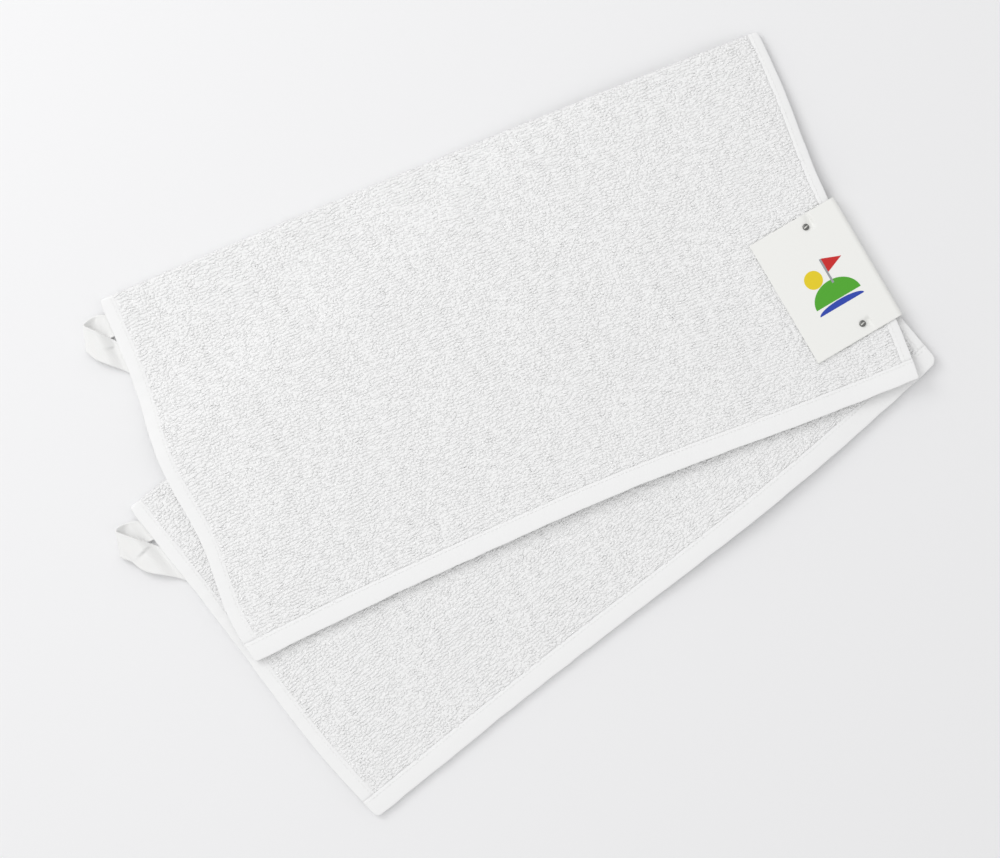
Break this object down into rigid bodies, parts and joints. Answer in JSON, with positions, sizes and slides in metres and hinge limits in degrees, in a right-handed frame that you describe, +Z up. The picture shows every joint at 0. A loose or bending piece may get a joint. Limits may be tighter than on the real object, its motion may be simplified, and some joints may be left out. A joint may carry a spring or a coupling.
{
  "type": "golf towel",
  "caption": "Folded white terry golf towels, fanned out and pinned together by a folded header card at one end, each with a woven hanging loop that swings about its side hem.",
  "frame": {"origin": "middle of the set's box in plan, on the surface it lies on", "axes": "+Z up from that surface, +X along the set's longest side, towards the card; the hanging loops are at -X"},
  "size_m": [0.54, 0.4982, 0.013],
  "materials": {
    "white_terry_cotton": "looped terry pile, matte",
    "white_woven_hem": "plain woven, turned and stitched, matte",
    "white_twill_tape": "twill woven tape, matte",
    "offwhite_card_stock": "uncoated card, satin",
    "dark_nickel": "dark nickel plate"
  },
  "bodies": {
    "root": {"lower_terry_sheet": "white_terry_cotton", "lower_side_hem_left": "white_woven_hem", "lower_side_hem_right": "white_woven_hem", "lower_end_hem_bottom_leaf": "white_woven_hem", "lower_end_hem_top_leaf": "white_woven_hem", "lower_loop_tail_back": "white_twill_tape", "lower_loop_tail_front": "white_twill_tape", "upper_terry_sheet": "white_terry_cotton", "upper_side_hem_left": "white_woven_hem", "upper_side_hem_right": "white_woven_hem", "upper_end_hem_bottom_leaf": "white_woven_hem", "upper_end_hem_top_leaf": "white_woven_hem", "upper_loop_tail_back": "white_twill_tape", "upper_loop_tail_front": "white_twill_tape", "header_card": "offwhite_card_stock", "card_pin_upper": "dark_nickel", "card_pin_lower": "dark_nickel", "pin_cap_upper": "dark_nickel", "pin_cap_lower": "dark_nickel"},
    "upper_loop": {"upper_loop_bow": "white_twill_tape"},
    "lower_loop": {"lower_loop_bow": "white_twill_tape"}
  },
  "joints": [
    {"name": "upper_loop_swing", "type": "hinge", "parent": "root", "child": "upper_loop", "pos_m": [-0.25538, 0.06214, 0.00195], "axis": [-0.3797, 0.9251, 0], "range_deg": [0, 90]},
    {"name": "lower_loop_swing", "type": "hinge", "parent": "root", "child": "lower_loop", "pos_m": [-0.232, -0.06784, 0.00195], "axis": [-0.6226, 0.7826, 0], "range_deg": [0, 90]}
  ]
}
